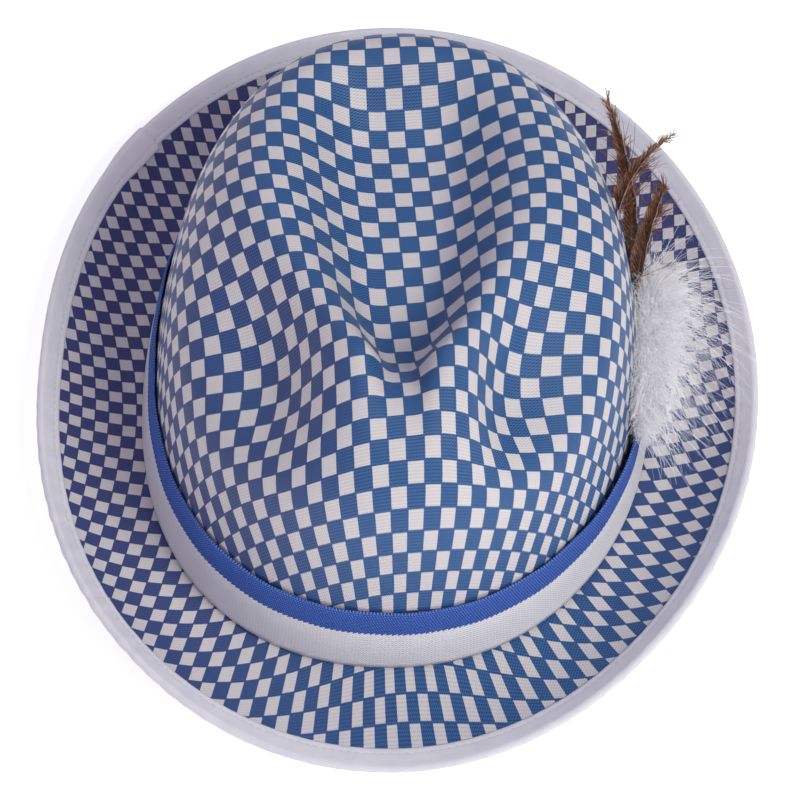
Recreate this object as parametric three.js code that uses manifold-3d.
// A tyrolean hat: a creased crown on a turned-up brim, with a bound edge, a ribbon band and a feather tuft.
// Lengths are in millimetres and z is up. The front of the hat faces -y. An azimuth is measured round the hat
// from its front towards +x, in radians, so the back is at half a turn.
import * as THREE from "three";
import Module from "manifold-3d";

const wasm = await Module();
wasm.setup();

// Head opening, measured outside the crown's foot
const RING_HALF_LENGTH = 100.5;
const RING_HALF_WIDTH = 84;
const RING_SQUARENESS = 2.1;

// Crown, whose height is taken from the surface that the hat stands on
const CROWN_HEIGHT = 113;
const CROWN_WALL = 1.8;
const FRONT_LEAN = 0.12;
const BACK_LEAN = 0.13;
const SIDE_LEAN = 0.22;
const SHOULDER_HEIGHT_POWER = 7;
const SHOULDER_SPREAD_POWER = 2.5;
const CROWN_SQUARENESS = 2.05;

// Crease along the top of the crown
const CREASE_DEPTH = 36;
const CREASE_HALF_WIDTH = 27;
const CREASE_STEEPNESS = 3.8;
const CREASE_FLOOR_SHARE = 0.55;
const CREASE_FLOOR_BAND = 9;
const CREASE_MIN_SHARE = 0.15;

// Brim
const BRIM_WIDTH = 37.5;
const BRIM_THICKNESS = 1.8;
const BRIM_MARGIN = 3;
const BRIM_CURL = 1.1;
const BEND_START = 0.8;

// Bound edge
const BINDING_WIDTH = 7.2;
const BINDING_THICKNESS = 0.8;

// Ribbon band
const BAND_HEIGHT = 31;
const BAND_THICKNESS = 0.9;
const BAND_SLACK = 0.2;
const BAND_BULGE_HALF_ANGLE = THREE.MathUtils.degToRad(16);

// Feather tuft on the wearer's left
const TUFT_AZIMUTH = THREE.MathUtils.degToRad(104);
const HACKLE_LENGTH = 83;
const HACKLE_THICKNESS = 0.9;
const HACKLE_WIDTH = 12;
const QUILL_WIDTH = 2.2;
const QUILL_TUCK = 16;
const QUILL_BARE = 0.15;
const QUILL_RUN = 0.4;
const PLUME_SHIFT = THREE.MathUtils.degToRad(19);
const PLUME_LEVEL = 1.12;
const PLUME_LENGTH = 56;
const PLUME_DEPTH = 14;
const PLUME_RISE = 20;
const PLUME_LOCK = 17;
const LOCK_HALF_WIDTH = 0.26;
const LOCK_SPREAD = 0.7;
const LOCK_SINK = 0.4;

// Clearances between pieces that touch
const SEAT = 0.3;
const BAND_EASE = 0.5;

// Mesh steps
const COLUMNS = 72;
const CROWN_ROWS = 19;
const BRIM_ROWS = 6;
const BEND_STEPS = 12;
const PROFILE_STEPS = 600;
const SHOULDER_START = 0.9;
const NUDGE = 0.004;
const HACKLE_STEPS = 12;
const PLUME_SEGMENTS = 16;
const LOCK_SEGMENTS = 8;

// The hat at eight azimuths from the front: how far the head opening swells out of its oval and how wide the
// brim is, as shares of their named sizes, then the brim's slope at its foot and at its edge, in degrees
const ROUND = [
  { place: "front", swell: 0.005, width: 0.98, foot: 2, edge: 14 },
  { place: "front, wearer's left", swell: -0.008, width: 0.955, foot: 4, edge: 42 },
  { place: "wearer's left", swell: -0.006, width: 1, foot: 4, edge: 40 },
  { place: "back, wearer's left", swell: 0, width: 1.02, foot: 14, edge: 38 },
  { place: "back", swell: 0, width: 1.1, foot: 20, edge: 46 },
  { place: "back, wearer's right", swell: 0, width: 1.03, foot: 12, edge: 38 },
  { place: "wearer's right", swell: -0.022, width: 0.98, foot: 6, edge: 44 },
  { place: "front, wearer's right", swell: 0.024, width: 1, foot: 5, edge: 46 },
];

// Dents pressed into the crown's shoulders either side of the front, as shares: centre and spread of the dent
// across, along and up the crown, then the depth that it is pressed in by and down by
const PINCHES = [
  { across: -0.61, along: -0.42, up: 0.84, wide: 0.37, long: 0.37, tall: 0.19, inward: 0.18, down: 0.12 },
  { across: 0.54, along: -0.46, up: 0.86, wide: 0.25, long: 0.4, tall: 0.16, inward: 0.15, down: 0.14 },
];

// Half-width of the crease from its front end to its back end, as a share of the named half-width
const CREASE_WIDTHS = [
  { place: "front end", width: 0.3 },
  { place: "middle", width: 1.04 },
  { place: "back end", width: 1 },
];

// Ends of the crease as shares of the head opening's half-length, and how softly each end rises
const CREASE_FRONT = { at: -0.47, softness: 0.25 };
const CREASE_BACK = { at: 0.63, softness: 0.21 };

// The three hackles: where each leaves the band, and its tip, as shares of the hackle's length
const HACKLES = [
  { name: "hackle_feather_1", offset: 4, out: -0.15, back: 0.27, rise: 0.78, width: 1, bow: 0.05 },
  { name: "hackle_feather_2", offset: 0, out: 0.09, back: 0.26, rise: 0.74, width: 0.9, bow: 0.12 },
  { name: "hackle_feather_3", offset: -4, out: 0.07, back: 0.16, rise: 0.54, width: 0.7, bow: 0.16 },
];

// Half-width of a hackle's vane along its length, as a share of its width
const HACKLE_OUTLINE = [
  { along: 0, width: 0.1 },
  { along: 0.15, width: 0.12 },
  { along: 0.35, width: 0.42 },
  { along: 0.6, width: 0.5 },
  { along: 0.85, width: 0.34 },
  { along: 1, width: 0.04 },
];

// Locks of down fanned out of the plume's core: where each leaves it along and up, and its reach, as shares
const PLUME_LOCKS = [
  { along: -1, up: -0.3, reach: 0.9 },
  { along: -0.9, up: 0.4, reach: 0.8 },
  { along: -0.6, up: -0.6, reach: 0.7 },
  { along: -0.5, up: 0.1, reach: 1 },
  { along: -0.3, up: 0.7, reach: 0.7 },
  { along: -0.1, up: -0.5, reach: 0.8 },
  { along: 0, up: 0.3, reach: 1 },
  { along: 0.3, up: -0.4, reach: 0.8 },
  { along: 0.4, up: 0.6, reach: 0.7 },
  { along: 0.6, up: 0, reach: 0.9 },
  { along: 0.9, up: -0.4, reach: 0.6 },
  { along: 1, up: 0.3, reach: 0.5 },
];

// Colour, roughness and metalness of each finish
const FINISHES = {
  checkedCloth: { color: 0x6f8fbe, roughness: 0.7, metalness: 0 },
  paleTape: { color: 0xc9c7d8, roughness: 0.75, metalness: 0 },
  wovenRibbon: { color: 0xb4bbd6, roughness: 0.8, metalness: 0 },
  brownHackle: { color: 0x5c3620, roughness: 0.6, metalness: 0 },
  whiteDown: { color: 0xe8e9ec, roughness: 0.95, metalness: 0 },
};

function finish(name) {
  return new THREE.MeshStandardMaterial({ name, ...FINISHES[name] });
}

function mix(from, to, share) {
  return from + (to - from) * share;
}

function rise(value) {
  return 1 / (1 + Math.exp(-value));
}

// Reads a column of a table whose rows are evenly spaced round the hat, smoothly from row to row.
function around(rows, column, azimuth) {
  const turn = (azimuth / (2 * Math.PI)) * rows.length;
  const row = Math.floor(turn);
  const share = turn - row;
  const pick = (step) => rows[(((row + step) % rows.length) + rows.length) % rows.length][column];
  const [before, from, to, after] = [-1, 0, 1, 2].map(pick);
  const bend = 2 * before - 5 * from + 4 * to - after;
  const twist = 3 * (from - to) + after - before;
  return from + 0.5 * share * (to - before + share * (bend + share * twist));
}

// Reads a column of a table whose rows are given along a length from 0 to 1.
function alongTable(rows, column, along) {
  let next = 1;
  while (next < rows.length - 1 && rows[next].along < along) {
    next += 1;
  }
  const from = rows[next - 1];
  const to = rows[next];
  return mix(from[column], to[column], (along - from.along) / (to.along - from.along));
}

// The squared-off oval of the head opening: a point of size 1 at an azimuth.
function ovalShare(azimuth, power) {
  const across = Math.sin(azimuth);
  const along = -Math.cos(azimuth);
  const reach = (Math.abs(across) ** power + Math.abs(along) ** power) ** (-1 / power);
  return new THREE.Vector2(across * reach, along * reach);
}

// A point of the head opening's outline in plan, and the direction straight out from it.
function ringFrame(azimuth) {
  const share = ovalShare(azimuth, RING_SQUARENESS);
  const slope = RING_SQUARENESS - 1;
  const swell = 1 + around(ROUND, "swell", azimuth);
  const point = new THREE.Vector2(share.x * RING_HALF_WIDTH * swell, share.y * RING_HALF_LENGTH * swell);
  const out = new THREE.Vector2(
    (Math.sign(share.x) * Math.abs(share.x) ** slope) / RING_HALF_WIDTH,
    (Math.sign(share.y) * Math.abs(share.y) ** slope) / RING_HALF_LENGTH,
  );
  return { point, out: out.normalize() };
}

// Half-width of the crease at a share of its length from the front end.
function creaseWidth(share) {
  const [front, middle, back] = CREASE_WIDTHS.map((row) => row.width);
  const t = THREE.MathUtils.clamp(share, 0, 1.2);
  const swell = 4 * (middle - mix(front, back, 0.5)) * t * (1 - t);
  return CREASE_HALF_WIDTH * Math.max(mix(front, back, t) + swell, CREASE_MIN_SHARE);
}

// Presses the crease and the two pinches into a point of the open crown.
function pressed(point) {
  const start = CREASE_FRONT.at * RING_HALF_LENGTH;
  const end = CREASE_BACK.at * RING_HALF_LENGTH;
  const halfWidth = creaseWidth((point.y - start) / (end - start));
  const across = Math.abs(point.x / halfWidth) ** CREASE_STEEPNESS;
  const fromFront = rise((3 * (point.y - start)) / (CREASE_FRONT.softness * RING_HALF_LENGTH));
  const fromBack = rise((3 * (end - point.y)) / (CREASE_BACK.softness * RING_HALF_LENGTH));
  const fromWall = rise((point.z - CREASE_FLOOR_SHARE * CROWN_HEIGHT) / CREASE_FLOOR_BAND);
  const dented = point.clone();
  dented.z -= (CREASE_DEPTH * fromFront * fromBack * fromWall) / (1 + across);
  for (const pinch of PINCHES) {
    const x = (point.x / RING_HALF_WIDTH - pinch.across) / pinch.wide;
    const y = (point.y / RING_HALF_LENGTH - pinch.along) / pinch.long;
    const z = (point.z / CROWN_HEIGHT - pinch.up) / pinch.tall;
    const press = Math.exp(-(x * x + y * y + z * z));
    dented.x -= Math.sign(pinch.across) * pinch.inward * RING_HALF_WIDTH * press;
    dented.z -= pinch.down * CROWN_HEIGHT * press;
  }
  return dented;
}

// Height of the crown's foot above the surface that the hat stands on.
const FOOT_HEIGHT = BRIM_THICKNESS + SEAT;

// A station of the crown's profile: its share of the height, and its spread, from 1 at the foot to 0 at the top.
function stationAtHeight(height) {
  const low = Math.max(height, 0);
  return { height: low, spread: (1 - low ** SHOULDER_HEIGHT_POWER) ** (1 / SHOULDER_SPREAD_POWER) };
}

function stationAtSpread(spread) {
  const wide = Math.max(spread, 0);
  return { height: (1 - wide ** SHOULDER_SPREAD_POWER) ** (1 / SHOULDER_HEIGHT_POWER), spread: wide };
}

// A point of the crown's outer surface.
function crownPoint(azimuth, station) {
  const { height, spread } = station;
  const power = mix(RING_SQUARENESS, CROWN_SQUARENESS, height);
  const share = ovalShare(azimuth, power);
  const lean = mix(BACK_LEAN, FRONT_LEAN, (1 + Math.cos(azimuth)) / 2);
  const wide = spread * (1 + around(ROUND, "swell", azimuth));
  const x = RING_HALF_WIDTH * (1 - SIDE_LEAN * height) * wide * share.x;
  const y = RING_HALF_LENGTH * (1 - lean * height) * wide * share.y;
  return pressed(new THREE.Vector3(x, y, mix(FOOT_HEIGHT, CROWN_HEIGHT, height)));
}

// The station of the crown's wall at a height above its foot.
function wallStation(above) {
  return stationAtHeight(above / (CROWN_HEIGHT - FOOT_HEIGHT));
}

// Rows of the crown from its foot up: one at each edge of the band, then evenly spaced over the shoulder.
function crownStations() {
  const track = [];
  let length = 0;
  for (let step = 0; step <= PROFILE_STEPS; step += 1) {
    const turn = ((step / PROFILE_STEPS) * Math.PI) / 2;
    const height = Math.sin(turn) ** (2 / SHOULDER_HEIGHT_POWER);
    const spread = Math.cos(turn) ** (2 / SHOULDER_SPREAD_POWER);
    const last = track.at(-1) ?? { height: 0, spread: 1 };
    const up = (height - last.height) * CROWN_HEIGHT;
    const inward = (spread - last.spread) * RING_HALF_WIDTH;
    length += Math.hypot(up, inward);
    track.push({ height, spread, length });
  }
  const stations = [wallStation(0), wallStation(BAND_HEIGHT)];
  for (let row = 1; row < CROWN_ROWS; row += 1) {
    const target = mix(BAND_HEIGHT, length, row / CROWN_ROWS);
    const { height, spread } = track.find((mark) => mark.length >= target);
    stations.push({ height, spread });
  }
  return stations;
}

// A point of the crown's outer surface with the direction straight out of it.
function crownFrame(azimuth, station) {
  const onWall = station.spread > SHOULDER_START;
  const lower = onWall ? stationAtHeight(station.height - NUDGE) : stationAtSpread(station.spread + NUDGE);
  const upper = onWall ? stationAtHeight(station.height + NUDGE) : stationAtSpread(station.spread - NUDGE);
  const side = crownPoint(azimuth + NUDGE, station).sub(crownPoint(azimuth - NUDGE, station));
  const up = crownPoint(azimuth, upper).sub(crownPoint(azimuth, lower));
  return { point: crownPoint(azimuth, station), out: side.cross(up).normalize() };
}

// A closed mesh from its points and faces, with the faces turned outwards.
function closedMesh(name, points, faces, material) {
  let volume = 0;
  for (const [a, b, c] of faces) {
    volume += points[a].dot(points[b].clone().cross(points[c]));
  }
  const geometry = new THREE.BufferGeometry();
  geometry.setFromPoints(points);
  geometry.setIndex(faces.flatMap(([a, b, c]) => (volume > 0 ? [a, b, c] : [a, c, b])));
  geometry.computeVertexNormals();
  const mesh = new THREE.Mesh(geometry, material);
  mesh.name = name;
  return mesh;
}

// Two faces for a four-sided patch. The shared edge always climbs the rows the same way, so that surfaces
// side by side are folded alike.
function patch(low, lowNext, high, highNext, climbs) {
  if (climbs) {
    return [
      [low, lowNext, highNext],
      [low, highNext, high],
    ];
  }
  return [
    [low, lowNext, high],
    [lowNext, highNext, high],
  ];
}

// A ring swept round the hat. The section gives a closed loop of points at an azimuth, each with its row.
function ringMesh(name, section, material) {
  const points = [];
  const faces = [];
  const rows = section(0).map((corner) => corner.row);
  for (let column = 0; column < COLUMNS; column += 1) {
    const azimuth = (column / COLUMNS) * 2 * Math.PI;
    points.push(...section(azimuth).map((corner) => corner.point));
    for (let k = 0; k < rows.length; k += 1) {
      const next = (k + 1) % rows.length;
      const low = column * rows.length;
      const ahead = ((column + 1) % COLUMNS) * rows.length;
      faces.push(...patch(low + k, ahead + k, low + next, ahead + next, rows[next] >= rows[k]));
    }
  }
  return closedMesh(name, points, faces, material);
}

// The crown: one shell of cloth, open at its foot.
function buildCrown() {
  const stations = crownStations();
  const points = [];
  const faces = [];
  const rows = stations.length;
  for (let column = 0; column < COLUMNS; column += 1) {
    const azimuth = (column / COLUMNS) * 2 * Math.PI;
    const frames = stations.map((station) => crownFrame(azimuth, station));
    const inner = frames.map(({ point, out }) => point.clone().addScaledVector(out, -CROWN_WALL));
    inner[0].z = frames[0].point.z;
    points.push(...frames.map(({ point }) => point), ...inner);
  }
  const crest = crownPoint(0, { height: 1, spread: 0 });
  points.push(crest, crest.clone().setZ(crest.z - CROWN_WALL));
  const top = points.length - 2;
  for (let column = 0; column < COLUMNS; column += 1) {
    const here = column * 2 * rows;
    const ahead = ((column + 1) % COLUMNS) * 2 * rows;
    for (let row = 0; row < rows - 1; row += 1) {
      faces.push(...patch(here + row, ahead + row, here + row + 1, ahead + row + 1, true));
      const low = here + rows + row;
      const lowNext = ahead + rows + row;
      const inside = patch(low, lowNext, low + 1, lowNext + 1, true);
      faces.push(...inside.map(([a, b, c]) => [a, c, b]));
    }
    faces.push([here, here + rows, ahead + rows]);
    faces.push([here, ahead + rows, ahead]);
    faces.push([here + rows - 1, ahead + rows - 1, top]);
    faces.push([here + 2 * rows - 1, top + 1, ahead + 2 * rows - 1]);
  }
  return closedMesh("crown", points, faces, finish("checkedCloth"));
}

// Width of the brim at an azimuth.
function brimWidth(azimuth) {
  return BRIM_WIDTH * around(ROUND, "width", azimuth);
}

// The brim's upper surface at a distance outside the head opening: the point, and the directions straight up
// from the sheet and outwards along it.
function brimFrame(azimuth, distance) {
  const { point, out } = ringFrame(azimuth);
  const foot = THREE.MathUtils.degToRad(around(ROUND, "foot", azimuth));
  const edge = THREE.MathUtils.degToRad(around(ROUND, "edge", azimuth));
  const span = Math.max(distance - BEND_START, 0);
  const slopeAt = (length) => mix(foot, edge, (length / (brimWidth(azimuth) - BEND_START)) ** BRIM_CURL);
  let reach = Math.min(distance, BEND_START);
  let height = BRIM_THICKNESS;
  for (let step = 0; step < BEND_STEPS; step += 1) {
    const slope = slopeAt((span * (step + 0.5)) / BEND_STEPS);
    reach += (Math.cos(slope) * span) / BEND_STEPS;
    height += (Math.sin(slope) * span) / BEND_STEPS;
  }
  const slope = span > 0 ? slopeAt(span) : 0;
  const place = new THREE.Vector3(point.x + out.x * reach, point.y + out.y * reach, height);
  const up = new THREE.Vector3(-Math.sin(slope) * out.x, -Math.sin(slope) * out.y, Math.cos(slope));
  const outward = new THREE.Vector3(Math.cos(slope) * out.x, Math.cos(slope) * out.y, Math.sin(slope));
  return { place, up, outward };
}

// Distances of the brim's rows outside the head opening at an azimuth.
function brimRows(azimuth) {
  const width = brimWidth(azimuth);
  const rows = [-CROWN_WALL - BRIM_MARGIN, BEND_START];
  for (let row = 1; row <= BRIM_ROWS; row += 1) {
    rows.push(mix(BEND_START, width - BINDING_WIDTH, row / BRIM_ROWS));
  }
  return [...rows, width];
}

// The brim: a sheet with a flat margin under the crown's foot.
function buildBrim() {
  const section = (azimuth) => {
    const frames = brimRows(azimuth).map((distance, row) => ({ row, ...brimFrame(azimuth, distance) }));
    const upper = frames.map(({ row, place }) => ({ row, point: place }));
    const lower = frames.map(({ row, place, up }) => ({
      row,
      point: place.clone().addScaledVector(up, -BRIM_THICKNESS),
    }));
    return [...upper, ...lower.reverse()];
  };
  return ringMesh("brim", section, finish("checkedCloth"));
}

// The tape folded over the brim's edge.
function buildBinding() {
  const over = SEAT + BINDING_THICKNESS;
  const section = (azimuth) => {
    const inner = brimFrame(azimuth, brimWidth(azimuth) - BINDING_WIDTH);
    const edge = brimFrame(azimuth, brimWidth(azimuth));
    const corner = (frame, row, above, outside) => {
      const point = frame.place.clone().addScaledVector(frame.up, above);
      return { row, point: point.addScaledVector(frame.outward, outside) };
    };
    return [
      corner(inner, 0, over, 0),
      corner(edge, 1, over, 0),
      corner(edge, 2, 0, over),
      corner(edge, 2, -BRIM_THICKNESS, over),
      corner(edge, 1, -BRIM_THICKNESS - over, 0),
      corner(inner, 0, -BRIM_THICKNESS - over, 0),
      corner(inner, 0, -BRIM_THICKNESS - SEAT, 0),
      corner(edge, 1, -BRIM_THICKNESS - SEAT, SEAT),
      corner(edge, 1, SEAT, SEAT),
      corner(inner, 0, SEAT, 0),
    ];
  };
  return ringMesh("brim_binding", section, finish("paleTape"));
}

// How far the band stands off the crown: a little all round, and room for the quills behind it.
function bandStandOff(azimuth) {
  const room = HACKLE_THICKNESS + 2 * SEAT - BAND_EASE;
  const away = (azimuth - TUFT_AZIMUTH) / BAND_BULGE_HALF_ANGLE;
  return BAND_EASE + BAND_SLACK + room * Math.exp(-(away ** 4));
}

// The ribbon round the crown's foot.
function buildBand() {
  const section = (azimuth) => {
    const inside = bandStandOff(azimuth);
    const outside = inside + BAND_THICKNESS;
    const brim = brimFrame(azimuth, outside + SEAT).place.z;
    const foot = crownFrame(azimuth, wallStation(brim - FOOT_HEIGHT + 2 * SEAT));
    const top = crownFrame(azimuth, wallStation(BAND_HEIGHT));
    const corner = (frame, row, outward) => {
      return { row, point: frame.point.clone().addScaledVector(frame.out, outward) };
    };
    return [
      corner(foot, 0, inside),
      corner(foot, 0, outside),
      corner(top, 1, outside),
      corner(top, 1, inside),
    ];
  };
  return ringMesh("hat_band", section, finish("wovenRibbon"));
}

// A closed blade swept along a path: a flat diamond section, thickest along its quill.
function bladeMesh(name, path, halfWidthAt, facing, material) {
  const points = [];
  const faces = [];
  const last = path.length - 1;
  path.forEach((centre, index) => {
    const along = path[Math.min(index + 1, last)].clone().sub(path[Math.max(index - 1, 0)]).normalize();
    const across = along.clone().cross(facing).normalize();
    const out = across.clone().cross(along).normalize();
    const half = halfWidthAt(index / last);
    points.push(centre.clone().addScaledVector(across, half));
    points.push(centre.clone().addScaledVector(out, HACKLE_THICKNESS / 2));
    points.push(centre.clone().addScaledVector(across, -half));
    points.push(centre.clone().addScaledVector(out, -HACKLE_THICKNESS / 2));
    for (let k = 0; index < last && k < 4; k += 1) {
      const next = (k + 1) % 4;
      const low = index * 4;
      faces.push(...patch(low + k, low + next, low + 4 + k, low + 4 + next, true));
    }
  });
  const end = last * 4;
  faces.push([0, 3, 2], [0, 2, 1], [end, end + 1, end + 2], [end, end + 2, end + 3]);
  return closedMesh(name, points, faces, material);
}

// One hackle: its quill tucked behind the band, its vane rising beside the crown.
function buildHackle(row) {
  const azimuth = TUFT_AZIMUTH + THREE.MathUtils.degToRad(row.offset);
  const lift = SEAT + BAND_SLACK / 2 + HACKLE_THICKNESS / 2;
  const onWall = (above) => {
    const frame = crownFrame(azimuth, wallStation(above));
    return frame.point.clone().addScaledVector(frame.out, lift);
  };
  const { out } = ringFrame(azimuth);
  const facing = new THREE.Vector3(out.x, out.y, 0);
  const tucked = onWall(BAND_HEIGHT - QUILL_TUCK);
  const root = onWall(BAND_HEIGHT);
  const wallUp = root.clone().sub(tucked).normalize();
  const tip = root.clone().add(new THREE.Vector3(row.out, row.back, row.rise).multiplyScalar(HACKLE_LENGTH));
  const bend = root.clone().addScaledVector(wallUp, QUILL_RUN * HACKLE_LENGTH);
  bend.addScaledVector(facing, row.bow * HACKLE_LENGTH);
  const vane = new THREE.QuadraticBezierCurve3(root, bend, tip).getPoints(HACKLE_STEPS);
  const path = [tucked, ...vane];
  const quillEnd = 1 / (path.length - 1);
  const halfWidthAt = (share) => {
    const along = (share - quillEnd) / (1 - quillEnd);
    const vaneWidth = along > 0 ? alongTable(HACKLE_OUTLINE, "width", along) * HACKLE_WIDTH * row.width : 0;
    return Math.max(vaneWidth, along < QUILL_BARE ? QUILL_WIDTH / 2 : 0);
  };
  return bladeMesh(row.name, path, halfWidthAt, facing, finish("brownHackle"));
}

// A closed rounded solid with the half-lengths given, set down by a placement.
function rounded(half, segments, placement) {
  return wasm.Manifold.sphere(1, segments).scale(half.toArray()).transform(placement.elements);
}

// The down plume: a soft core beside the band, with tapering locks fanned out of it.
function buildPlume() {
  const azimuth = TUFT_AZIMUTH - PLUME_SHIFT;
  const upright = new THREE.Vector3(0, 0, 1);
  const { point, out } = crownFrame(azimuth, wallStation(PLUME_LEVEL * BAND_HEIGHT));
  const half = new THREE.Vector3(PLUME_DEPTH, PLUME_LENGTH, PLUME_RISE).multiplyScalar(0.5);
  const ahead = upright.clone().cross(out).normalize();
  const level = ahead.clone().cross(upright).normalize();
  const lean = Math.hypot(half.x * out.dot(level), half.z * out.z);
  const clear = bandStandOff(azimuth) + BAND_THICKNESS + SEAT + lean;
  const centre = point.clone().addScaledVector(out, clear);
  const turn = new THREE.Matrix4().makeBasis(level, ahead, upright).setPosition(centre);
  let plume = rounded(half, PLUME_SEGMENTS, turn);
  for (const { along, up, reach } of PLUME_LOCKS) {
    const heading = new THREE.Vector3(1, along, up).normalize();
    const length = half.x * LOCK_SINK + PLUME_LOCK * reach;
    const root = new THREE.Vector3(0, along * half.y * LOCK_SPREAD, up * half.z * LOCK_SPREAD);
    const middle = root.addScaledVector(heading, length / 2);
    const facing = new THREE.Quaternion().setFromUnitVectors(upright, heading);
    const stance = new THREE.Matrix4().compose(middle, facing, new THREE.Vector3(1, 1, 1));
    const thick = PLUME_LOCK * LOCK_HALF_WIDTH;
    const slender = new THREE.Vector3(thick, thick, length / 2);
    plume = plume.add(rounded(slender, LOCK_SEGMENTS, turn.clone().multiply(stance)));
  }
  const { vertProperties, triVerts } = plume.getMesh();
  const geometry = new THREE.BufferGeometry();
  geometry.setAttribute("position", new THREE.BufferAttribute(vertProperties, 3));
  geometry.setIndex([...triVerts]);
  geometry.computeVertexNormals();
  const mesh = new THREE.Mesh(geometry, finish("whiteDown"));
  mesh.name = "marabou_plume";
  return mesh;
}

// The hat stands with the middle of its outline over the origin.
function buildHat() {
  const hat = new THREE.Group();
  hat.add(buildCrown(), buildBrim(), buildBinding(), buildBand());
  hat.add(...HACKLES.map(buildHackle), buildPlume());
  const middle = new THREE.Box3().setFromObject(hat).getCenter(new THREE.Vector3());
  hat.position.set(-middle.x, -middle.y, 0);
  const group = new THREE.Group();
  group.add(hat);
  return group;
}

const group = buildHat();

export default group;
